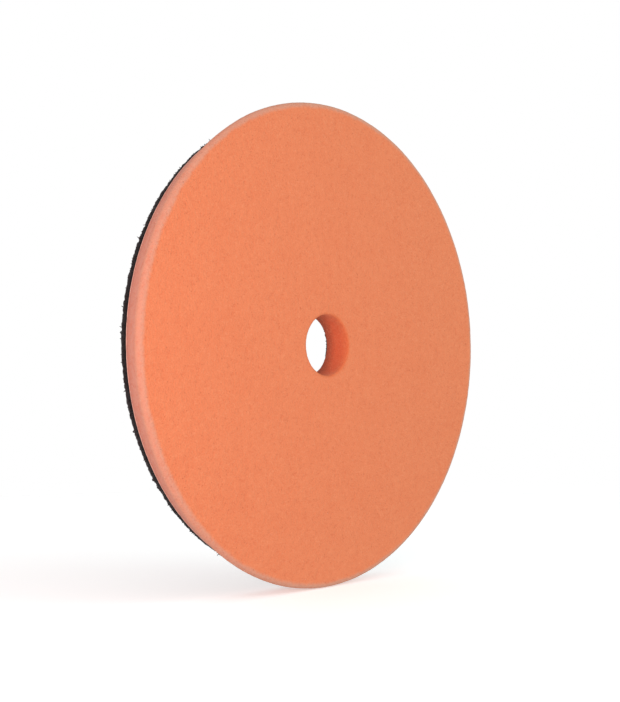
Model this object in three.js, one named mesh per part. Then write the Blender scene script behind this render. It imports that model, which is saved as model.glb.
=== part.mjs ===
// A thin foam polishing pad for an orbital car polisher, standing upright on its rim.
//
// The pad spins about Y. Its working face looks along -Y, its hook-and-loop face looks along +Y and lies
// in the plane y = 0, and the origin is where the spin axis crosses that plane. Units are millimetres.
//
// From the working face to the back, four layers are bonded into one stack: the foam disc, a hot-melt
// adhesive film, the knitted ground cloth of the loop fabric, and the raised pile of loops that grips the
// hooks of the machine's backing plate.

import * as THREE from 'three';

// Driving dimensions.

const FACE_RADIUS = 82.5; // widest circle of the foam, just behind the working face
const BACK_RADIUS = 79; // foam at its back, and the adhesive film on it
const FABRIC_RADIUS = 78.3; // fabric, cut a little smaller than the foam
const FOAM_HOLE_RADIUS = 10.4; // centre hole through the foam
const FABRIC_HOLE_RADIUS = 14; // wider centre hole through film and fabric

const FOAM_THICKNESS = 10.2;
const FILM_THICKNESS = 0.3;
const GROUND_THICKNESS = 0.8;
const PILE_THICKNESS = 2.5;

const LIP_INSET = 1.7; // how far the rounded rim of the working face reaches inwards
const LIP_DEPTH = 2.4; // how far it reaches back
const HOLE_EASE = 0.5; // rounding of the centre hole's mouth
const PILE_FLARE = 0.2; // how far the cut edge of the pile leans outwards

const ROUND_SEGMENTS = 96; // facets around the spin axis
const LIP_STEPS = 8; // facets across the rounded rim
const EASE_STEPS = 3; // facets across the hole's rounding

// Planes across the spin axis, from the loop face forwards.

const LOOP_FACE = 0;
const PILE_ROOT = LOOP_FACE - PILE_THICKNESS;
const GROUND_FRONT = PILE_ROOT - GROUND_THICKNESS;
const FOAM_BACK = GROUND_FRONT - FILM_THICKNESS;
const WORKING_FACE = FOAM_BACK - FOAM_THICKNESS;

// Materials.

const orangeFoam = new THREE.MeshStandardMaterial({ color: 0xe8804f, roughness: 0.95, metalness: 0 });
const meltedFilm = new THREE.MeshStandardMaterial({ color: 0xd8b8a6, roughness: 0.5, metalness: 0 });
const blackKnit = new THREE.MeshStandardMaterial({ color: 0x1c191b, roughness: 0.9, metalness: 0 });
const blackPile = new THREE.MeshStandardMaterial({ color: 0x161416, roughness: 1, metalness: 0 });

/**
 * Points of a quarter ellipse, both ends included.
 * @param {number} centreRadius radial place of the ellipse's centre
 * @param {number} centreY axial place of the ellipse's centre
 * @param {number} radial half-axis along the radius, negative towards the spin axis
 * @param {number} axial half-axis along Y, negative towards the working face
 * @param {number} steps number of straight facets
 * @returns {THREE.Vector2[]} from the point on the axial half-axis to the point on the radial one
 */
function quarterEllipse(centreRadius, centreY, radial, axial, steps) {
	const points = [];
	for (let i = 0; i <= steps; i ++) {
		const angle = (Math.PI / 2) * (i / steps);
		points.push(new THREE.Vector2(
			centreRadius + radial * Math.sin(angle),
			centreY + axial * Math.cos(angle),
		));
	}
	return points;
}

/**
 * Turns a closed profile around the spin axis.
 * @param {string} name the piece's name
 * @param {THREE.Vector2[]} profile radius and Y, without the repeated last point
 * @param {THREE.Material} material finish of the piece
 * @returns {THREE.Mesh}
 */
function turned(name, profile, material) {
	const geometry = new THREE.LatheGeometry([...profile, profile[0].clone()], ROUND_SEGMENTS);
	const mesh = new THREE.Mesh(geometry, material);
	mesh.name = name;
	return mesh;
}

/** The foam disc: flat working face, rounded rim, side wall drawn in towards the back, eased centre hole. */
function foamDisc() {
	const rim = quarterEllipse(
		FACE_RADIUS - LIP_INSET, WORKING_FACE + LIP_DEPTH, LIP_INSET, - LIP_DEPTH, LIP_STEPS,
	);
	const mouth = quarterEllipse(
		FOAM_HOLE_RADIUS + HOLE_EASE, WORKING_FACE + HOLE_EASE, - HOLE_EASE, - HOLE_EASE, EASE_STEPS,
	).reverse();
	return turned('foam_disc', [
		...mouth,
		...rim,
		new THREE.Vector2(BACK_RADIUS, FOAM_BACK),
		new THREE.Vector2(FOAM_HOLE_RADIUS, FOAM_BACK),
	], orangeFoam);
}

/** The adhesive film, melted between the foam and the cloth. */
function adhesiveFilm() {
	return turned('adhesive_film', [
		new THREE.Vector2(FABRIC_HOLE_RADIUS, FOAM_BACK),
		new THREE.Vector2(BACK_RADIUS, FOAM_BACK),
		new THREE.Vector2(BACK_RADIUS, GROUND_FRONT),
		new THREE.Vector2(FABRIC_HOLE_RADIUS, GROUND_FRONT),
	], meltedFilm);
}

/** The knitted ground cloth that carries the loops. */
function loopGroundCloth() {
	return turned('loop_ground_cloth', [
		new THREE.Vector2(FABRIC_HOLE_RADIUS, GROUND_FRONT),
		new THREE.Vector2(FABRIC_RADIUS, GROUND_FRONT),
		new THREE.Vector2(FABRIC_RADIUS, PILE_ROOT),
		new THREE.Vector2(FABRIC_HOLE_RADIUS, PILE_ROOT),
	], blackKnit);
}

/** The space that the raised loops fill, leaning out a little past the cut edges of the cloth. */
function loopPile() {
	return turned('loop_pile', [
		new THREE.Vector2(FABRIC_HOLE_RADIUS, PILE_ROOT),
		new THREE.Vector2(FABRIC_RADIUS, PILE_ROOT),
		new THREE.Vector2(FABRIC_RADIUS + PILE_FLARE, LOOP_FACE),
		new THREE.Vector2(FABRIC_HOLE_RADIUS - PILE_FLARE, LOOP_FACE),
	], blackPile);
}

const polishingPad = new THREE.Group();
polishingPad.add(foamDisc(), adhesiveFilm(), loopGroundCloth(), loopPile());

export default polishingPad;
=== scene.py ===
"""Looks of a thin orange foam polishing pad with a black hook-and-loop backing.

The pad stands upright on its rim and spins about Y: its working face looks along -Y and its loop face
along +Y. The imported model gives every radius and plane; this script builds the cut foam, the line of
glue, the knitted cloth and the raised loops around it, dresses them, and sets the studio and camera.
Lengths are in metres.
"""

from __future__ import annotations

import logging
import math
import random
from collections.abc import Callable
from dataclasses import dataclass, field
from enum import Enum
from typing import Any

import bmesh
import bpy
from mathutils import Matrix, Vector


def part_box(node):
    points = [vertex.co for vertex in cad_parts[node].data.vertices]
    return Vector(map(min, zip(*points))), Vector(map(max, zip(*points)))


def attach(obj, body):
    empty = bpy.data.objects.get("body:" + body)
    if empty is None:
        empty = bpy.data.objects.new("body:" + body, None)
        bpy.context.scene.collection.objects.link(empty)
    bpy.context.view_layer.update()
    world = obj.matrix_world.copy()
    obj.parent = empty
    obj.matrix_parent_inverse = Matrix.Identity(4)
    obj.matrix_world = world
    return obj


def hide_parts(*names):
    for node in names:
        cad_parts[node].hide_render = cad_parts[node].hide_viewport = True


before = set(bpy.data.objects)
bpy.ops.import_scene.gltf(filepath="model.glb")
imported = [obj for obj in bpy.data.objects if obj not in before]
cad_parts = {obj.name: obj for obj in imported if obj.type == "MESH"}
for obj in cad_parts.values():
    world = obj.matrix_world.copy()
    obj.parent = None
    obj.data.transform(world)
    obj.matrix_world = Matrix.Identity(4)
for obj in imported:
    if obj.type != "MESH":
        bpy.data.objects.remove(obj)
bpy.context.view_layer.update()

BODY = "root"
MM = 0.001
FULL_TURN = 2 * math.pi
SAME_PLACE = 1e-6  # two points nearer than this are one
MIX_FIRST, MIX_SECOND, MIX_RESULT = 6, 7, 2  # places of the Mix node's colour sockets

Colour = tuple[float, float, float]
Point = tuple[float, float, float]
Span = tuple[float, float]  # where something starts and where it ends

log = logging.getLogger("pad")


# Shader maths


class Wire:
    """One output of a shader node, on which +, -, * and ** add Math nodes."""

    def __init__(self, recipe: Recipe, socket: bpy.types.NodeSocket) -> None:
        """Wraps a socket.

        Args:
            recipe: the material that the socket belongs to.
            socket: the output socket.
        """
        self.recipe = recipe
        self.socket = socket

    def _math(self, operation: str, *values: Wire | float) -> Wire:
        """Adds one Math node.

        Args:
            operation: the Math node's operation.
            values: its inputs, in order.

        Returns:
            The node's result.
        """
        return self.recipe.node("ShaderNodeMath", {"operation": operation}, dict(enumerate(values)))

    def __add__(self, other: Wire | float) -> Wire:
        """Self plus other."""
        return self._math("ADD", self, other)

    def __radd__(self, other: float) -> Wire:
        """Other plus self."""
        return self._math("ADD", other, self)

    def __sub__(self, other: Wire | float) -> Wire:
        """Self minus other."""
        return self._math("SUBTRACT", self, other)

    def __rsub__(self, other: float) -> Wire:
        """Other minus self."""
        return self._math("SUBTRACT", other, self)

    def __mul__(self, other: Wire | float) -> Wire:
        """Self times other."""
        return self._math("MULTIPLY", self, other)

    def __rmul__(self, other: float) -> Wire:
        """Other times self."""
        return self._math("MULTIPLY", other, self)

    def __pow__(self, other: Wire | float) -> Wire:
        """Self to the power of other."""
        return self._math("POWER", self, other)

    def sine(self) -> Wire:
        """The sine of self, in radians."""
        return self._math("SINE", self)

    def step(self, start: float, end: float) -> Wire:
        """A smooth step.

        Args:
            start: the value at and before which the result is 0.
            end: the value at and after which the result is 1.

        Returns:
            The step, from 0 to 1.
        """
        settings = {"interpolation_type": "SMOOTHSTEP"}
        values = {"Value": self, "From Min": start, "From Max": end}
        return self.recipe.node("ShaderNodeMapRange", settings, values)


class Recipe:
    """A material under construction: its nodes, and the shader that they feed."""

    def __init__(self, name: str) -> None:
        """Starts a material with one Principled shader.

        Args:
            name: the material's name.
        """
        self.material = bpy.data.materials.new(name)
        self.material.use_nodes = True
        self.tree = self.material.node_tree
        self.shader = self.tree.nodes["Principled BSDF"]

    def node(
        self, kind: str, settings: dict[str, Any], values: dict[str | int, Any], output: str | int = 0
    ) -> Wire:
        """Adds a node.

        Args:
            kind: the node's type.
            settings: its properties, set first.
            values: a number, colour or Wire for each input socket, by name or place.
            output: the output to return, by name or place.

        Returns:
            That output.
        """
        made = self.tree.nodes.new(kind)
        for name, value in settings.items():
            setattr(made, name, value)
        for name, value in values.items():
            self._feed(made.inputs[name], value)
        return Wire(self, made.outputs[output])

    def _feed(self, socket: bpy.types.NodeSocket, value: Any) -> None:
        """Links a Wire to an input socket, or sets the socket to a value.

        Args:
            socket: the input socket.
            value: the Wire, number or colour.
        """
        if isinstance(value, Wire):
            self.tree.links.new(value.socket, socket)
        else:
            socket.default_value = value

    def set(self, **values: Any) -> None:
        """Feeds the Principled shader.

        Args:
            values: a value or Wire for each socket, its name's spaces written as underscores.
        """
        for name, value in values.items():
            self._feed(self.shader.inputs[name.replace("_", " ")], value)

    def place(self) -> Wire:
        """The point that is shaded, in the pad's frame."""
        return self.node("ShaderNodeTexCoord", {}, {}, "Object")

    def split(self, vector: Wire) -> tuple[Wire, Wire, Wire]:
        """A vector's three numbers."""
        made = self.node("ShaderNodeSeparateXYZ", {}, {0: vector}).socket.node
        return Wire(self, made.outputs[0]), Wire(self, made.outputs[1]), Wire(self, made.outputs[2])

    def noise(self, place: Wire, size: float, detail: float = 2.0, rough: float = 0.5) -> Wire:
        """Cloudy noise from 0 to 1.

        Args:
            place: the point.
            size: width of its largest blotches.
            detail: octaves of finer noise.
            rough: share that each finer octave keeps.

        Returns:
            The noise.
        """
        values = {"Vector": place, "Scale": 1 / size, "Detail": detail, "Roughness": rough}
        return self.node("ShaderNodeTexNoise", {"noise_dimensions": "3D"}, values)

    def cells(self, place: Wire, size: float) -> Wire:
        """Distance to the nearest cell's centre, as a share of the cells' width.

        Args:
            place: the point.
            size: width of a cell.

        Returns:
            The distance.
        """
        return self.node("ShaderNodeTexVoronoi", {"feature": "F1"}, {"Vector": place, "Scale": 1 / size})

    def mix(self, share: Wire | float, first: Any, second: Any) -> Wire:
        """A colour between two.

        Args:
            share: how much of the second colour, from 0 to 1.
            first: the colour at 0, as a Wire or red, green and blue.
            second: the colour at 1.

        Returns:
            The mixed colour.
        """
        values = {"Factor": share, MIX_FIRST: self._colour(first), MIX_SECOND: self._colour(second)}
        return self.node("ShaderNodeMix", {"data_type": "RGBA"}, values, MIX_RESULT)

    @staticmethod
    def _colour(value: Any) -> Any:
        """A colour with its alpha, or a Wire as it is."""
        return value if isinstance(value, Wire) else (*value, 1.0)

    def relief(self, height: Wire, depth: float, strength: float) -> Wire:
        """A bumped normal.

        Args:
            height: the surface's height, from 0 to 1.
            depth: how deep a height of 1 stands.
            strength: how much of the bump is used.

        Returns:
            The normal.
        """
        values = {"Height": height, "Distance": depth, "Strength": strength}
        return self.node("ShaderNodeBump", {}, values, "Normal")


def moved(span: Span, origin: float) -> Span:
    """A span that starts from an origin."""
    return origin + span[0], origin + span[1]


# Modelling with operators


def start_piece(name: str) -> bpy.types.Object:
    """Names the primitive that was just added and goes into edit mode on it.

    Args:
        name: the new piece's name.

    Returns:
        The piece.
    """
    piece = bpy.context.active_object
    piece.name = name
    piece.data.name = name
    bpy.ops.object.transform_apply(location=True, rotation=True, scale=True)
    bpy.ops.object.mode_set(mode="EDIT")
    return piece


def deselect() -> None:
    """Leaves nothing selected, in object mode."""
    if bpy.context.object and bpy.context.object.mode != "OBJECT":
        bpy.ops.object.mode_set(mode="OBJECT")
    bpy.ops.object.select_all(action="DESELECT")


def pick(piece: bpy.types.Object, test: Callable[[Vector], bool]) -> None:
    """Selects the vertices that pass a test, and the edges between them, in edit mode.

    Args:
        piece: the piece being edited.
        test: says whether a vertex at a place is wanted.
    """
    bpy.ops.mesh.select_mode(type="VERT")
    bpy.ops.mesh.select_all(action="DESELECT")
    form = bmesh.from_edit_mesh(piece.data)
    for vertex in form.verts:
        vertex.select_set(test(vertex.co))
    form.select_flush_mode()
    bmesh.update_edit_mesh(piece.data)


def pick_top(piece: bpy.types.Object) -> None:
    """Selects the face that is highest along Z, in edit mode.

    Args:
        piece: the piece being edited.
    """
    bpy.ops.mesh.select_mode(type="FACE")
    bpy.ops.mesh.select_all(action="DESELECT")
    form = bmesh.from_edit_mesh(piece.data)
    form.faces.ensure_lookup_table()
    top = max(form.faces, key=lambda face: face.calc_center_median().z)
    top.select_set(True)
    bmesh.update_edit_mesh(piece.data)


def at(radius: float, depth: float) -> Callable[[Vector], bool]:
    """A test for the vertex of a cross-section at a radius and a place along Y."""
    return lambda co: abs(co.x - radius) < SAME_PLACE and abs(co.y - depth) < SAME_PLACE


def at_depth(depth: float) -> Callable[[Vector], bool]:
    """A test for the vertices of a cross-section at a place along Y."""
    return lambda co: abs(co.y - depth) < SAME_PLACE


def at_radius(radius: float) -> Callable[[Vector], bool]:
    """A test for the vertices of a cross-section at a radius."""
    return lambda co: abs(co.x - radius) < SAME_PLACE


def cross_section(name: str, inner: float, outer: float, front: float, back: float) -> bpy.types.Object:
    """Starts a ring's cross-section: a rectangle beside the spin axis, in edit mode.

    Args:
        name: the piece's name.
        inner: the ring's inner radius.
        outer: its outer radius.
        front: its place along Y at the front.
        back: its place along Y at the back.

    Returns:
        The piece.
    """
    deselect()
    centre = ((inner + outer) / 2, (front + back) / 2, 0.0)
    bpy.ops.mesh.primitive_plane_add(size=1.0, location=centre)
    piece = start_piece(name)
    bpy.ops.mesh.select_all(action="SELECT")
    bpy.ops.transform.resize(value=(outer - inner, back - front, 1.0), center_override=centre)
    return piece


def round_corner(piece: bpy.types.Object, radius: float, depth: float, reach: float, steps: int) -> None:
    """Rounds one corner of a cross-section.

    Args:
        piece: the cross-section, in edit mode.
        radius: the corner's radius.
        depth: its place along Y.
        reach: how far the rounding reaches along each side.
        steps: facets across it.
    """
    pick(piece, at(radius, depth))
    bpy.ops.mesh.bevel(offset=reach, offset_type="OFFSET", segments=steps, profile=0.5, affect="VERTICES")


def divide(piece: bpy.types.Object, test: Callable[[Vector], bool], cuts: int) -> None:
    """Cuts the straight run whose ends pass a test into equal steps."""
    pick(piece, test)
    bpy.ops.mesh.subdivide(number_cuts=cuts)


def turn(piece: bpy.types.Object, steps: int) -> None:
    """Turns a cross-section's outline round the Y axis into a closed ring.

    Args:
        piece: the cross-section, in edit mode, without its face.
        steps: facets round the axis.
    """
    bpy.ops.object.mode_set(mode="OBJECT")
    lathe = piece.modifiers.new("lathe", "SCREW")
    lathe.axis = "Y"
    lathe.angle = FULL_TURN
    lathe.screw_offset = 0.0
    lathe.steps = steps
    lathe.render_steps = steps
    lathe.use_merge_vertices = True
    lathe.merge_threshold = SAME_PLACE
    settle(piece)
    bpy.ops.object.mode_set(mode="EDIT")
    bpy.ops.mesh.select_all(action="SELECT")
    bpy.ops.mesh.remove_doubles(threshold=SAME_PLACE)
    bpy.ops.mesh.normals_make_consistent(inside=False)
    bpy.ops.object.mode_set(mode="OBJECT")
    bpy.ops.object.shade_smooth()


def open_outline() -> None:
    """Drops a cross-section's face and keeps its outline."""
    bpy.ops.mesh.select_all(action="SELECT")
    bpy.ops.mesh.delete(type="ONLY_FACE")


class Grain(Enum):
    """Patterns that a surface is pushed in and out by."""

    CLOUDS = "CLOUDS"
    CELLS = "VORONOI"


class Push(Enum):
    """Ways that a pattern pushes a surface."""

    OUTWARD = "NORMAL"
    EVERY_WAY = "RGB_TO_XYZ"


def roughen(
    piece: bpy.types.Object, grain: Grain, size: float, height: float, along: Push = Push.OUTWARD
) -> None:
    """Pushes a piece's surface in and out by a pattern.

    Args:
        piece: the piece.
        grain: the pattern.
        size: its scale.
        height: from its lowest to its highest point.
        along: the way that it pushes.
    """
    name = f"{piece.name}_{grain.name.lower()}_{size / MM:g}"
    pattern = bpy.data.textures.new(name, grain.value)
    pattern.noise_scale = size
    if along is Push.EVERY_WAY:
        pattern.cloud_type = "COLOR"
    push = piece.modifiers.new("roughen", "DISPLACE")
    push.texture = pattern
    push.texture_coords = "LOCAL"
    push.direction = along.value
    push.strength = height
    push.mid_level = 0.5
    settle(piece)


def settle(piece: bpy.types.Object) -> None:
    """Applies a piece's modifiers, in order.

    Args:
        piece: the piece.
    """
    deselect()
    bpy.context.view_layer.objects.active = piece
    piece.select_set(True)
    for modifier in list(piece.modifiers):
        bpy.ops.object.modifier_apply(modifier=modifier.name)


def finish_piece(piece: bpy.types.Object, finish: Recipe, node: str) -> None:
    """Dresses a piece and hangs it on the pad.

    Args:
        piece: the piece.
        finish: its material.
        node: the CAD node that it stands for.
    """
    piece.data.materials.clear()
    piece.data.materials.append(finish.material)
    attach(piece, BODY)
    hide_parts(node)
    log.info("%s: %d faces", piece.name, len(piece.data.polygons))


# Sizes of the stack


@dataclass(frozen=True)
class Stack:
    """Radii of the pad's layers, and their planes along Y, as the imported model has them."""

    rim_radius: float
    back_radius: float
    cloth_radius: float
    foam_hole: float
    cloth_hole: float
    working_face: float
    foam_back: float
    cloth_front: float
    pile_root: float
    loop_face: float

    @classmethod
    def from_frame(cls) -> Stack:
        """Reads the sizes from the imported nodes.

        Returns:
            The stack.
        """
        foam_low, foam_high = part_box("foam_disc")
        cloth_low, cloth_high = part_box("loop_ground_cloth")
        _, pile_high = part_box("loop_pile")
        return cls(
            rim_radius=foam_high.x,
            back_radius=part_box("adhesive_film")[1].x,
            cloth_radius=cloth_high.x,
            foam_hole=cls.hole_in("foam_disc"),
            cloth_hole=cls.hole_in("loop_ground_cloth"),
            working_face=foam_low.y,
            foam_back=foam_high.y,
            cloth_front=cloth_low.y,
            pile_root=cloth_high.y,
            loop_face=pile_high.y,
        )

    @staticmethod
    def hole_in(node: str) -> float:
        """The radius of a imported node's centre hole."""
        return min(math.hypot(v.co.x, v.co.z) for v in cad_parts[node].data.vertices)


# Finishes


@dataclass(frozen=True)
class FoamFinish:
    """Matt open-cell foam: orange on the working face; paler on the ground rim and pinker on the side by
    painted sheen; painted shade in its pores, in the hole and towards the back of the side.

    A share is how much of a colour lies over the one below it, and an extra is what the side wall adds.
    """

    face: Colour = (0.805, 0.230, 0.102)
    face_shade: Colour = (0.77, 0.198, 0.084)
    # rim: the rounded rim's paleness is painted sheen, standing for the light that it catches
    rim: Colour = (0.67, 0.305, 0.205)
    # side: paler and pinker by painted sheen; side_back_shade: darker towards the back, a painted shade
    side: Colour = (0.64, 0.270, 0.195)
    side_back_shade: Colour = (0.56, 0.215, 0.160)
    # hole colours: painted shade, darker and redder deeper in the hole
    hole_mouth_shade: Colour = (0.74, 0.19, 0.075)
    hole_middle_shade: Colour = (0.68, 0.145, 0.060)
    hole_back_shade: Colour = (0.46, 0.115, 0.064)
    # pore_shade: painted shade in the pores and hollows of the relief
    pore_shade: Colour = (0.56, 0.075, 0.022)
    strand: Colour = (0.93, 0.39, 0.21)
    cell: float = 0.5 * MM
    coarse_cell: float = 1.5 * MM
    grain: float = 0.9 * MM
    blotch: float = 11 * MM
    broad_grain: float = 2.34 * MM
    relief_depth: float = 0.30 * MM
    relief_strength: float = 0.9
    pit_cells: Span = (0.04, 0.40)
    pit_grain: Span = (0.40, 0.58)
    hole_cells: Span = (0.05, 0.17)
    hole_grain: Span = (0.44, 0.52)
    thread_cells: Span = (0.46, 0.72)
    mottle_grain: Span = (0.32, 0.60)
    mottle_broad: Span = (0.36, 0.64)
    blotch_cloud: Span = (0.35, 0.75)
    pit_share: float = 0.34
    pit_extra: float = 0.32
    mottle_share: float = 0.30
    mottle_extra: float = 0.30
    hole_share: float = 0.42
    thread_share: float = 0.20
    blotch_share: float = 0.30
    rim_width: float = 1.9 * MM
    rim_edge: Span = (-0.5 * MM, 1.1 * MM)
    side_grain: Span = (1.8 * MM, 3.4 * MM)
    side_colour: Span = (1.8 * MM, 3.8 * MM)
    back_from: float = 5 * MM
    past_back: float = 0.5 * MM
    mouth_edge: Span = (0.3 * MM, 1.2 * MM)
    mouth_depth: Span = (0.2 * MM, 4.5 * MM)
    outer_part: Span = (0.6, 0.7)
    wander: float = 6 * MM
    wander_height: float = 1.1 * MM
    ragged: float = 0.9 * MM
    ragged_height: float = 0.7 * MM

    def make(self, stack: Stack) -> Recipe:
        """Builds the material.

        Args:
            stack: the pad's sizes, which place the rim, the side and the hole.

        Returns:
            The material.
        """
        mix = Recipe("orange_foam")
        place = mix.place()
        cells = mix.cells(place, self.cell)
        coarse = mix.cells(place, self.coarse_cell)
        fine = mix.noise(place, self.grain, detail=3.0, rough=0.7)
        broad = mix.noise(place, self.broad_grain, detail=2.0, rough=0.6)
        on_side = self._side_mask(mix, place, stack)
        base = self._zones(mix, place, stack)
        # pits, holes and mottle lie in the hollows of the relief; mixing them towards pore_shade paints shade
        # there, more on the side wall
        pits = (1 - cells.step(*self.pit_cells)) * fine.step(*self.pit_grain)
        holes = (1 - coarse.step(*self.hole_cells)) * fine.step(*self.hole_grain)
        threads = cells.step(*self.thread_cells) * (1 - fine.step(*self.pit_grain))
        mottle = (1 - fine.step(*self.mottle_grain)) * (1 - broad.step(*self.mottle_broad))
        base = mix.mix(pits * (self.pit_share + on_side * self.pit_extra), base, self.pore_shade)
        base = mix.mix(mottle * (self.mottle_share + on_side * self.mottle_extra), base, self.pore_shade)
        base = mix.mix(holes * self.hole_share, base, self.pore_shade)
        base = mix.mix(threads * self.thread_share, base, self.strand)
        height = cells * 0.45 + fine * 0.9 + broad * 0.5 - holes * 0.5
        mix.set(
            Base_Color=base,
            Roughness=0.86 + fine * 0.12,
            Normal=mix.relief(height, self.relief_depth, self.relief_strength),
            Sheen_Weight=0.10,
            Sheen_Roughness=0.6,
            Sheen_Tint=(1.0, 0.80, 0.66, 1.0),
            Specular_IOR_Level=0.10,
        )
        return mix

    def _outside(self, radius: Wire, stack: Stack) -> Wire:
        """1 near the rim and 0 near the hole."""
        start, end = self.outer_part
        return radius.step(start * stack.rim_radius, end * stack.rim_radius)

    def _side_mask(self, mix: Recipe, place: Wire, stack: Stack) -> Wire:
        """1 on the side wall behind the rounded rim, and 0 elsewhere.

        Args:
            mix: the material.
            place: the point.
            stack: the pad's sizes.

        Returns:
            The mask.
        """
        x, y, z = mix.split(place)
        radius = (x * x + z * z) ** 0.5
        return y.step(*moved(self.side_grain, stack.working_face)) * self._outside(radius, stack)

    def _zones(self, mix: Recipe, place: Wire, stack: Stack) -> Wire:
        """The foam's colour on its face, rim, side and hole, with painted sheen on the rim and the side and
        painted shade in the hole and towards the back of the side.

        Args:
            mix: the material.
            place: the point.
            stack: the pad's sizes.

        Returns:
            The colour.
        """
        x, y, z = mix.split(place)
        radius = (x * x + z * z) ** 0.5
        wander = (mix.noise(place, self.wander) - 0.5) * self.wander_height
        wobble = wander + (mix.noise(place, self.ragged) - 0.5) * self.ragged_height
        front = stack.working_face
        # the rim's paleness here is painted sheen
        on_rim_sheen = (radius + wobble).step(*moved(self.rim_edge, stack.rim_radius - self.rim_width))
        behind_rim = (y + wobble).step(*moved(self.side_colour, front))
        to_back = (y + wobble).step(front + self.back_from, stack.foam_back)
        outside = self._outside(radius, stack)
        in_hole = 1 - radius.step(*moved(self.mouth_edge, stack.foam_hole))
        deep = y.step(*moved(self.mouth_depth, front))
        deepest = y.step(front + self.back_from, stack.foam_back + self.past_back)

        cloud = mix.noise(place, self.blotch, detail=3.0)
        base = mix.mix(cloud.step(*self.blotch_cloud) * self.blotch_share, self.face, self.face_shade)
        base = mix.mix(on_rim_sheen * outside, base, self.rim)
        # the side wall: painted sheen, giving way to painted shade towards the back
        side = mix.mix(to_back, self.side, self.side_back_shade)
        base = mix.mix(behind_rim * outside, base, side)
        # the hole wall: painted shade, darker deeper in
        hole = mix.mix(deepest, mix.mix(deep, self.hole_mouth_shade, self.hole_middle_shade), self.hole_back_shade)
        return mix.mix(in_hole, base, hole)


@dataclass(frozen=True)
class GlueFinish:
    """Pale, slightly glossy hot-melt glue, uneven where it was squeezed."""

    colour: Colour = (0.66, 0.37, 0.29)
    dark: Colour = (0.42, 0.20, 0.15)
    lump: float = 1.4 * MM
    dark_lumps: Span = (0.5, 0.72)
    dark_share: float = 0.6
    relief_depth: float = 0.1 * MM

    def make(self) -> Recipe:
        """Builds the material.

        Returns:
            The material.
        """
        mix = Recipe("squeezed_glue")
        place = mix.place()
        lumps = mix.noise(place, self.lump, detail=2.0)
        mix.set(
            Base_Color=mix.mix(lumps.step(*self.dark_lumps) * self.dark_share, self.colour, self.dark),
            Roughness=0.42 + lumps * 0.25,
            Normal=mix.relief(lumps, self.relief_depth, 0.6),
        )
        return mix


@dataclass(frozen=True)
class KnitFinish:
    """Black knitted cloth: ribs one way, stitches across them."""

    yarn: Colour = (0.016, 0.013, 0.014)
    gap: Colour = (0.004, 0.0035, 0.0035)
    rib: float = 0.9 * MM
    stitch: float = 0.6 * MM
    wander: float = 6 * MM
    wander_width: float = 0.8 * MM
    fuzz: float = 0.35 * MM
    relief_depth: float = 0.18 * MM

    def make(self) -> Recipe:
        """Builds the material.

        Returns:
            The material.
        """
        mix = Recipe("black_knit")
        place = mix.place()
        x, _, z = mix.split(place)
        wander = mix.noise(place, self.wander) * self.wander_width
        ribs = ((x + wander) * (FULL_TURN / self.rib)).sine() * 0.5 + 0.5
        stitches = ((z + wander) * (FULL_TURN / self.stitch)).sine() * 0.5 + 0.5
        weave = ribs * 0.6 + stitches * 0.4
        fuzz = mix.noise(place, self.fuzz, detail=2.0)
        surface = weave * 0.7 + fuzz * 0.3
        mix.set(
            Base_Color=mix.mix(surface, self.gap, self.yarn),
            Roughness=0.75 + fuzz * 0.2,
            Normal=mix.relief(surface, self.relief_depth, 0.8),
            Sheen_Weight=0.05,
            Sheen_Roughness=0.5,
            Specular_IOR_Level=0.2,
        )
        return mix


@dataclass(frozen=True)
class LoopFinish:
    """Black nylon yarn: faint brown cast, soft sheen, painted shade at the roots and painted highlights on
    patches of the tips.
    """

    yarn: Colour = (0.016, 0.0125, 0.0135)
    # root: painted shade at the foot of the pile
    root: Colour = (0.004, 0.003, 0.0035)
    # tip: painted highlight where the loops stand up into the light
    tip: Colour = (0.062, 0.052, 0.054)
    strand: float = 0.25 * MM
    patch: float = 7 * MM
    highlight_patches: Span = (0.42, 0.7)
    highlight_strands: Span = (0.4, 0.7)
    highlight_share: float = 0.7
    relief_depth: float = 0.06 * MM

    def make(self, name: str, stack: Stack) -> Recipe:
        """Builds the material.

        Args:
            name: the material's name.
            stack: the pad's sizes, which place the roots and the tips.

        Returns:
            The material.
        """
        mix = Recipe(name)
        place = mix.place()
        _, y, _ = mix.split(place)
        strands = mix.noise(place, self.strand, detail=2.0, rough=0.6)
        patches = mix.noise(place, self.patch, detail=2.0)
        # darker towards the roots is painted shade; lighter patches on the tips are painted highlight
        up = y.step(stack.pile_root, stack.loop_face)
        base = mix.mix(up, self.root, self.yarn)
        tip_highlight = up * patches.step(*self.highlight_patches) * strands.step(*self.highlight_strands)
        base = mix.mix(tip_highlight * self.highlight_share, base, self.tip)
        mix.set(
            Base_Color=base,
            Roughness=0.55 + strands * 0.3,
            Normal=mix.relief(strands, self.relief_depth, 0.5),
            Sheen_Weight=0.05,
            Sheen_Roughness=0.5,
            Specular_IOR_Level=0.2,
        )
        return mix


@dataclass(frozen=True)
class FloorFinish:
    """Plain pale studio floor, lit a little from below, that fades into the white around it."""

    colour: Colour = (0.95, 0.95, 0.95)
    glow: float = 0.35
    solid_to: float = 0.10
    gone_by: float = 0.50

    def make(self) -> Recipe:
        """Builds the material.

        Returns:
            The material.
        """
        mix = Recipe("pale_floor")
        x, y, _ = mix.split(mix.place())
        away = (x * x + y * y) ** 0.5
        mix.set(
            Base_Color=(*self.colour, 1.0),
            Roughness=0.8,
            Emission_Color=(1.0, 1.0, 1.0, 1.0),
            Emission_Strength=self.glow,
            Alpha=1 - away.step(self.solid_to, self.gone_by),
        )
        return mix


# The pad's layers


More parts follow.
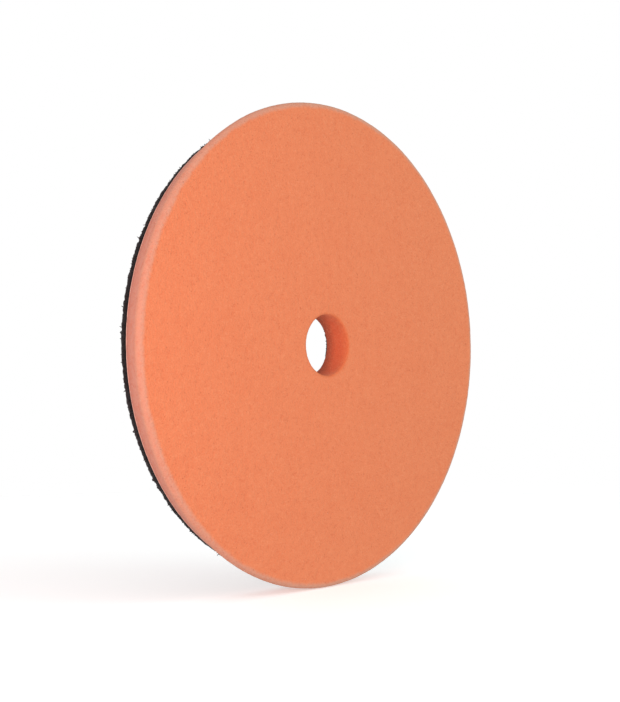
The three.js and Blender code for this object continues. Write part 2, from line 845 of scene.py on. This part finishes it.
@dataclass
class FoamDisc:
    """The foam: flat working face, rounded rim, side wall drawn in, eased hole, uneven cut cells."""

    stack: Stack
    finish: FoamFinish = field(default_factory=FoamFinish)
    facets: int = 720
    rim_reach: float = 2.6 * MM
    rim_steps: int = 8
    corner_stands_out: float = 0.8 * MM
    mouth_ease: float = 0.7 * MM
    mouth_steps: int = 4
    back_ease: float = 0.25 * MM
    back_steps: int = 2
    face_cuts: int = 84
    wall_cuts: int = 11
    hole_cuts: int = 13
    back_cuts: int = 6
    wave: float = 14 * MM
    wave_height: float = 0.16 * MM
    dimple: float = 1.1 * MM
    dimple_height: float = 0.09 * MM
    firmness: float = 0.9

    def build(self) -> bpy.types.Object:
        """Models and dresses the foam.

        Returns:
            The piece.
        """
        s = self.stack
        corner = s.rim_radius + self.corner_stands_out
        foam = cross_section("foam_slab", s.foam_hole, corner, s.working_face, s.foam_back)
        pick(foam, at(corner, s.foam_back))
        bpy.ops.transform.translate(value=(s.back_radius - corner, 0, 0))
        round_corner(foam, corner, s.working_face, self.rim_reach, self.rim_steps)
        round_corner(foam, s.foam_hole, s.working_face, self.mouth_ease, self.mouth_steps)
        round_corner(foam, s.foam_hole, s.foam_back, self.back_ease, self.back_steps)
        open_outline()
        self._divide_runs(foam)
        turn(foam, self.facets)
        roughen(foam, Grain.CLOUDS, self.wave, self.wave_height)
        roughen(foam, Grain.CELLS, self.dimple, self.dimple_height)
        finish_piece(foam, self.finish.make(s), "foam_disc")
        return foam

    def _divide_runs(self, foam: bpy.types.Object) -> None:
        """Cuts the outline's straight runs into steps about as long as a dimple is wide.

        Args:
            foam: the cross-section's outline, in edit mode.
        """
        s = self.stack
        form = bmesh.from_edit_mesh(foam.data)
        rim = [v.co.y for v in form.verts if v.co.x > s.back_radius + SAME_PLACE]
        wall_start = max(rim) - SAME_PLACE
        divide(foam, lambda co: co.x > s.back_radius - SAME_PLACE and co.y > wall_start, self.wall_cuts)
        divide(foam, at_depth(s.working_face), self.face_cuts)
        divide(foam, at_radius(s.foam_hole), self.hole_cuts)
        divide(foam, at_depth(s.foam_back), self.back_cuts)


@dataclass
class GlueLine:
    """The hot-melt film, seen as a thin pale bead all round the seam."""

    stack: Stack
    finish: GlueFinish = field(default_factory=GlueFinish)
    facets: int = 720
    bulge: float = 0.12 * MM
    bead_steps: int = 3
    bead_share: float = 0.45
    lump: float = 1.6 * MM
    unevenness: float = 0.14 * MM

    def build(self) -> bpy.types.Object:
        """Models and dresses the film.

        Returns:
            The piece.
        """
        s = self.stack
        outer = s.back_radius + self.bulge
        inner = s.cloth_hole - self.bulge
        film = cross_section("glue_film", inner, outer, s.foam_back, s.cloth_front)
        reach = (s.cloth_front - s.foam_back) * self.bead_share
        for radius in (outer, inner):
            for depth in (s.foam_back, s.cloth_front):
                round_corner(film, radius, depth, reach, self.bead_steps)
        open_outline()
        turn(film, self.facets)
        roughen(film, Grain.CLOUDS, self.lump, self.unevenness)
        finish_piece(film, self.finish.make(), "adhesive_film")
        return film


@dataclass
class LoopCloth:
    """The knitted ground cloth, with its die-cut edges."""

    stack: Stack
    finish: KnitFinish = field(default_factory=KnitFinish)
    facets: int = 720
    edge_ease: float = 0.22 * MM
    edge_steps: int = 3
    weave: float = 0.8 * MM
    unevenness: float = 0.16 * MM

    def build(self) -> bpy.types.Object:
        """Models and dresses the cloth.

        Returns:
            The piece.
        """
        s = self.stack
        cloth = cross_section("ground_cloth", s.cloth_hole, s.cloth_radius, s.cloth_front, s.pile_root)
        for radius in (s.cloth_radius, s.cloth_hole):
            for depth in (s.cloth_front, s.pile_root):
                round_corner(cloth, radius, depth, self.edge_ease, self.edge_steps)
        open_outline()
        turn(cloth, self.facets)
        roughen(cloth, Grain.CLOUDS, self.weave, self.unevenness)
        finish_piece(cloth, self.finish.make(), "loop_ground_cloth")
        return cloth


@dataclass
class LoopPile:
    """The raised side of the cloth: a dense mat of brushed yarn with loops standing out of it."""

    stack: Stack
    finish: LoopFinish = field(default_factory=LoopFinish)
    facets: int = 720
    mat_share: float = 0.60
    frayed_share: float = 0.96
    mat_cuts: int = 80
    edge_cuts: int = 3
    mat_relief: tuple[tuple[Grain, float, float], ...] = (
        (Grain.CLOUDS, 3 * MM, 0.35 * MM),
        (Grain.CELLS, 1.0 * MM, 0.45 * MM),
        (Grain.CLOUDS, 0.5 * MM, 0.55 * MM),
    )
    tangle: tuple[Span, ...] = ((2.2 * MM, 1.5 * MM), (0.7 * MM, 0.5 * MM))
    pitch: float = 1.25 * MM
    patch_side: int = 6
    loop_width: float = 0.95 * MM
    loop_height: float = 1.6 * MM
    yarn: float = 0.24 * MM
    loop_segments: int = 10
    yarn_sides: int = 3
    lean: float = 0.55
    scatter: float = 0.35
    tip_below_face: float = 0.1 * MM
    height_play: Span = (-0.25 * MM, 0.2 * MM)
    end_length: float = 1.1 * MM
    fringe_root: float = 0.45 * MM
    outer_ends: int = 2600
    hole_ends: int = 380
    end_depth: Span = (-0.3 * MM, -0.35 * MM)
    end_tilt: Span = (-0.3, 1.1)
    end_sideways: float = 0.9
    plain_length: Span = (0.6, 1.0)
    stray_length: Span = (1.1, 1.7)
    stray_share: float = 0.05
    seed: int = 7
    sectors: int = 4

    def build_mat(self) -> bpy.types.Object:
        """Models and dresses the dense mat at the loops' feet.

        Returns:
            The piece.
        """
        s = self.stack
        top = s.pile_root + (s.loop_face - s.pile_root) * self.mat_share
        mat = cross_section("pile_mat", s.cloth_hole, s.cloth_radius, s.pile_root, top)
        frayed = s.pile_root + (s.loop_face - s.pile_root) * self.frayed_share
        open_outline()
        divide(mat, at_depth(top), self.mat_cuts)
        for radius in (s.cloth_radius, s.cloth_hole):
            pick(mat, at(radius, top))
            bpy.ops.transform.translate(value=(0, frayed - top, 0))
        divide(mat, at_radius(s.cloth_radius), self.edge_cuts)
        divide(mat, at_radius(s.cloth_hole), self.edge_cuts)
        turn(mat, self.facets)
        for grain, size, height in self.mat_relief:
            roughen(mat, grain, size, height)
        finish_piece(mat, self.finish.make("pile_mat_yarn", s), "loop_pile")
        return mat

    def build_loops(self) -> list[bpy.types.Object]:
        """Models and dresses the standing loops, in sectors.

        Returns:
            The pieces.
        """
        loops = self._patch_of_loops()
        per_loop = self.loop_segments * self.yarn_sides
        self._spread(loops)
        self._keep_on_cloth(loops, per_loop)
        for size, height in self.tangle:
            roughen(loops, Grain.CLOUDS, size, height, Push.EVERY_WAY)
        pieces = self._cut_in_sectors(loops, per_loop)
        finish = self.finish.make("loop_yarn", self.stack)
        for piece in pieces:
            finish_piece(piece, finish, "loop_pile")
        return pieces

    def build_fringe(self) -> bpy.types.Object:
        """Models and dresses the cut yarn ends that stand out of the cloth's two edges.

        Returns:
            The piece.
        """
        deselect()
        chance = random.Random(self.seed + 1)
        stub = self._yarn_end()
        ends = []
        for radius, outward, count in (
            (self.stack.cloth_radius - self.fringe_root, 1, self.outer_ends),
            (self.stack.cloth_hole + self.fringe_root, -1, self.hole_ends),
        ):
            for i in range(count):
                end = stub.copy()
                end.data = stub.data.copy()
                bpy.context.scene.collection.objects.link(end)
                bearing = (i + chance.uniform(-0.5, 0.5)) * FULL_TURN / count
                self._set_end(end, radius, outward, bearing, chance)
                ends.append(end)
        deselect()
        bpy.data.objects.remove(stub)
        for end in ends:
            end.select_set(True)
        fringe = ends[0]
        fringe.name = "cut_yarn_ends"
        fringe.data.name = fringe.name
        bpy.context.view_layer.objects.active = fringe
        bpy.ops.object.join()
        bpy.ops.object.transform_apply(location=True, rotation=True, scale=True)
        finish_piece(fringe, self.finish.make("fringe_yarn", self.stack), "loop_pile")
        return fringe

    def _set_end(
        self, end: bpy.types.Object, radius: float, outward: int, bearing: float, chance: random.Random
    ) -> None:
        """Places one yarn end on a cut edge and turns and stretches it by chance.

        Args:
            end: the yarn end.
            radius: of the circle that it stands on.
            outward: 1 if it points away from the axis, or -1 towards it.
            bearing: its angle round the axis.
            chance: the source of random numbers.
        """
        lowest, highest = self.end_depth
        east, north = math.cos(bearing), math.sin(bearing)
        depth = chance.uniform(self.stack.pile_root + lowest, self.stack.loop_face + highest)
        end.location = (radius * east, depth, radius * north)
        way = Vector((outward * east, chance.uniform(*self.end_tilt), outward * north))
        sideways = Vector((-north, 0, east)) * chance.uniform(-self.end_sideways, self.end_sideways)
        end.rotation_mode = "QUATERNION"
        end.rotation_quaternion = (way + sideways).to_track_quat("Z", "Y")
        stray = chance.random() <= self.stray_share
        end.scale = (1.0, 1.0, chance.uniform(*(self.stray_length if stray else self.plain_length)))

    def _yarn_end(self) -> bpy.types.Object:
        """One short curved end of yarn, standing up from the origin.

        Returns:
            The piece.
        """
        third = self.end_length / 3
        tip = (1.15 * third, 0, 2.6 * third)
        bpy.ops.mesh.primitive_cylinder_add(
            vertices=4, radius=self.yarn / 2, depth=third, location=(0, 0, third / 2)
        )
        stub = start_piece("yarn_end")
        for aside in (0.35, 0.8):
            pick_top(stub)
            bpy.ops.mesh.extrude_region_move(
                TRANSFORM_OT_translate={"value": (aside * third, 0, third * (1.1 - 0.5 * aside))}
            )
        bpy.ops.transform.resize(value=(0.5, 0.5, 0.5), center_override=tip)
        bpy.ops.object.mode_set(mode="OBJECT")
        bpy.ops.object.shade_smooth()
        return stub

    def _patch_of_loops(self) -> bpy.types.Object:
        """One square patch of loops, each turned and leant its own way.

        Returns:
            The patch, at the low corner of the square that it will be spread over.
        """
        deselect()
        chance = random.Random(self.seed)
        across = self.patch_side * self.pitch
        start = -self._patches_across() * across / 2
        bpy.ops.mesh.primitive_torus_add(
            major_segments=self.loop_segments,
            minor_segments=self.yarn_sides,
            major_radius=self.loop_width / 2,
            minor_radius=self.yarn / 2,
            location=(0, 0, 0),
        )
        first = start_piece("loop_curls")
        bpy.ops.mesh.select_all(action="SELECT")
        taller = self.loop_height / self.loop_width
        bpy.ops.transform.resize(value=(1.0, taller, 1.0), center_override=(0, 0, 0))
        bpy.ops.object.mode_set(mode="OBJECT")
        bpy.ops.object.shade_smooth()
        copies = [first]
        for _ in range(self.patch_side * self.patch_side - 1):
            copy = first.copy()
            copy.data = first.data.copy()
            bpy.context.scene.collection.objects.link(copy)
            copies.append(copy)
        middle = self.stack.loop_face - self.loop_height / 2 - self.tip_below_face
        for i, copy in enumerate(copies):
            row, column = divmod(i, self.patch_side)
            copy.rotation_euler = (
                chance.uniform(-self.lean, self.lean),
                chance.uniform(0, FULL_TURN),
                chance.uniform(-self.lean, self.lean),
            )
            copy.location = (
                start + (column + 0.5 + chance.uniform(-self.scatter, self.scatter)) * self.pitch,
                middle + chance.uniform(*self.height_play),
                start + (row + 0.5 + chance.uniform(-self.scatter, self.scatter)) * self.pitch,
            )
        deselect()
        for copy in copies:
            copy.select_set(True)
        bpy.context.view_layer.objects.active = first
        bpy.ops.object.join()
        bpy.ops.object.transform_apply(location=True, rotation=True, scale=True)
        return first

    def _patches_across(self) -> int:
        """How many patches span the cloth."""
        return math.ceil(2 * self.stack.cloth_radius / (self.patch_side * self.pitch))

    def _spread(self, loops: bpy.types.Object) -> None:
        """Repeats the patch over the square round the cloth.

        Args:
            loops: the patch.
        """
        across = self.patch_side * self.pitch
        for direction in ((across, 0, 0), (0, 0, across)):
            repeat = loops.modifiers.new("spread", "ARRAY")
            repeat.use_relative_offset = False
            repeat.use_constant_offset = True
            repeat.constant_offset_displace = direction
            repeat.count = self._patches_across()
        settle(loops)

    def _keep_on_cloth(self, loops: bpy.types.Object, per_loop: int) -> None:
        """Deletes the loops whose feet would miss the cloth.

        Args:
            loops: all the loops in one piece.
            per_loop: vertices in a loop.
        """
        s = self.stack
        inner = s.cloth_hole + self.yarn
        outer = s.cloth_radius - self.yarn

        def off(centre: Vector) -> bool:
            """Says whether a loop with this centre misses the cloth."""
            return not inner < math.hypot(centre.x, centre.z) < outer

        self._delete_loops(loops, per_loop, off)

    @staticmethod
    def _delete_loops(loops: bpy.types.Object, per_loop: int, unwanted: Callable[[Vector], bool]) -> None:
        """Deletes the loops whose centres pass a test.

        Args:
            loops: many loops in one piece.
            per_loop: vertices in a loop.
            unwanted: says whether the loop with a centre goes.
        """
        deselect()
        bpy.context.view_layer.objects.active = loops
        loops.select_set(True)
        bpy.ops.object.mode_set(mode="EDIT")
        bpy.ops.mesh.select_mode(type="VERT")
        bpy.ops.mesh.select_all(action="DESELECT")
        form = bmesh.from_edit_mesh(loops.data)
        vertices = list(form.verts)
        for start in range(0, len(vertices), per_loop):
            ring = vertices[start : start + per_loop]
            centre = sum((v.co for v in ring), Vector()) / per_loop
            if unwanted(centre):
                for vertex in ring:
                    vertex.select_set(True)
        form.select_flush_mode()
        bmesh.update_edit_mesh(loops.data)
        bpy.ops.mesh.delete(type="VERT")
        bpy.ops.object.mode_set(mode="OBJECT")

    def _cut_in_sectors(self, loops: bpy.types.Object, per_loop: int) -> list[bpy.types.Object]:
        """Parts the loops into equal sectors round the axis.

        Args:
            loops: all the loops in one piece.
            per_loop: vertices in a loop.

        Returns:
            One piece for each sector.
        """
        pieces = []
        for i in range(self.sectors):
            piece = loops.copy()
            piece.data = loops.data.copy()
            piece.name = f"loop_curls_{i + 1}"
            piece.data.name = piece.name
            bpy.context.scene.collection.objects.link(piece)

            def elsewhere(centre: Vector, sector: int = i) -> bool:
                """Says whether a loop with this centre lies in another sector."""
                turned = math.atan2(centre.z, centre.x) % FULL_TURN
                return int(turned / FULL_TURN * self.sectors) % self.sectors != sector

            self._delete_loops(piece, per_loop, elsewhere)
            pieces.append(piece)
        deselect()
        bpy.data.objects.remove(loops)
        return pieces


# The studio


@dataclass(frozen=True)
class SoftBox:
    """A square lamp with a soft edge that looks at the pad."""

    name: str
    place: Point
    side: float
    watts: float
    colour: Colour

    def hang(self, target: Vector) -> None:
        """Hangs the lamp.

        Args:
            target: the point that it looks at.
        """
        lamp = bpy.data.lights.new(self.name, "AREA")
        lamp.shape = "SQUARE"
        lamp.size = self.side
        lamp.energy = self.watts
        lamp.color = self.colour
        holder = bpy.data.objects.new(self.name, lamp)
        bpy.context.scene.collection.objects.link(holder)
        holder.location = self.place
        holder.rotation_mode = "QUATERNION"
        holder.rotation_quaternion = (target - Vector(self.place)).to_track_quat("-Z", "Y")


@dataclass
class Studio:
    """Pale floor under the pad, white surroundings, soft lamps and the camera."""

    stack: Stack
    azimuth: float = math.radians(-46.56)
    elevation: float = math.radians(-1.09)
    distance: float = 452.4 * MM
    lens_mm: float = 67.93
    sensor_mm: float = 36.0
    near_clip: float = 0.01
    pad_right_of_aim: float = 6.1 * MM
    pad_above_aim: float = 2.0 * MM
    floor_radius: float = 0.65
    floor_facets: int = 96
    floor_gap: float = 0.2 * MM
    floor: FloorFinish = field(default_factory=FloorFinish)
    seen_white: float = 1.0
    cast_white: float = 0.66
    lamps: tuple[SoftBox, ...] = (
        SoftBox("key_left", (-0.34, -0.17, -0.01), 0.12, 0.80, (1.0, 0.64, 0.60)),
        SoftBox("fill_right", (0.45, -0.60, 0.20), 0.5, 2.3, (0.66, 1.0, 1.0)),
    )

    def build(self) -> None:
        """Sets the camera, the lamps, the surroundings and the floor."""
        self._set_camera()
        for lamp in self.lamps:
            lamp.hang(Vector((0, self.stack.working_face, 0)))
        self._paint_surroundings()
        self._lay_floor()
        bpy.context.scene.view_settings.view_transform = "Standard"

    def _set_camera(self) -> None:
        """Places the camera at the viewing angle."""
        back = Vector(
            (
                math.sin(self.azimuth) * math.cos(self.elevation),
                -math.cos(self.azimuth) * math.cos(self.elevation),
                math.sin(self.elevation),
            )
        )
        right = Vector((math.cos(self.azimuth), math.sin(self.azimuth), 0))
        up = back.cross(right)
        pad = Vector((0, self.stack.working_face, 0))
        data = bpy.data.cameras.new("camera")
        data.lens = self.lens_mm
        data.sensor_width = self.sensor_mm
        data.clip_start = self.near_clip
        camera = bpy.data.objects.new("camera", data)
        bpy.context.scene.collection.objects.link(camera)
        camera.location = pad + back * self.distance - right * self.pad_right_of_aim - up * self.pad_above_aim
        camera.rotation_mode = "QUATERNION"
        camera.rotation_quaternion = (-back).to_track_quat("-Z", "Y")
        bpy.context.scene.camera = camera

    def _paint_surroundings(self) -> None:
        """Makes the surroundings white to the eye and a little dimmer as a light."""
        world = bpy.data.worlds.new("white_room")
        world.use_nodes = True
        bpy.context.scene.world = world
        tree = world.node_tree
        seen = tree.nodes.new("ShaderNodeBackground")
        seen.inputs["Color"].default_value = (1, 1, 1, 1)
        seen.inputs["Strength"].default_value = self.seen_white
        cast = tree.nodes["Background"]
        cast.inputs["Color"].default_value = (1, 1, 1, 1)
        cast.inputs["Strength"].default_value = self.cast_white
        path = tree.nodes.new("ShaderNodeLightPath")
        choose = tree.nodes.new("ShaderNodeMixShader")
        tree.links.new(path.outputs["Is Camera Ray"], choose.inputs["Fac"])
        tree.links.new(cast.outputs[0], choose.inputs[1])
        tree.links.new(seen.outputs[0], choose.inputs[2])
        tree.links.new(choose.outputs[0], tree.nodes["World Output"].inputs["Surface"])

    def _lay_floor(self) -> None:
        """Lays the floor under the rim."""
        deselect()
        level = -self.stack.rim_radius - self.floor_gap
        bpy.ops.mesh.primitive_circle_add(
            vertices=self.floor_facets, radius=self.floor_radius, fill_type="NGON", location=(0, 0, level)
        )
        floor = bpy.context.active_object
        floor.name = "floor"
        floor.visible_diffuse = False
        floor.data.materials.append(self.floor.make().material)


def main() -> None:
    """Builds the studio and the pad's layers, from the working face back."""
    logging.basicConfig(level=logging.INFO, format="%(message)s")
    stack = Stack.from_frame()
    Studio(stack).build()
    FoamDisc(stack).build()
    GlueLine(stack).build()
    cloth = LoopCloth(stack).build()
    pile = LoopPile(stack)
    raised = [pile.build_mat(), pile.build_fringe(), *pile.build_loops()]


if __name__ == "__main__":
    main()
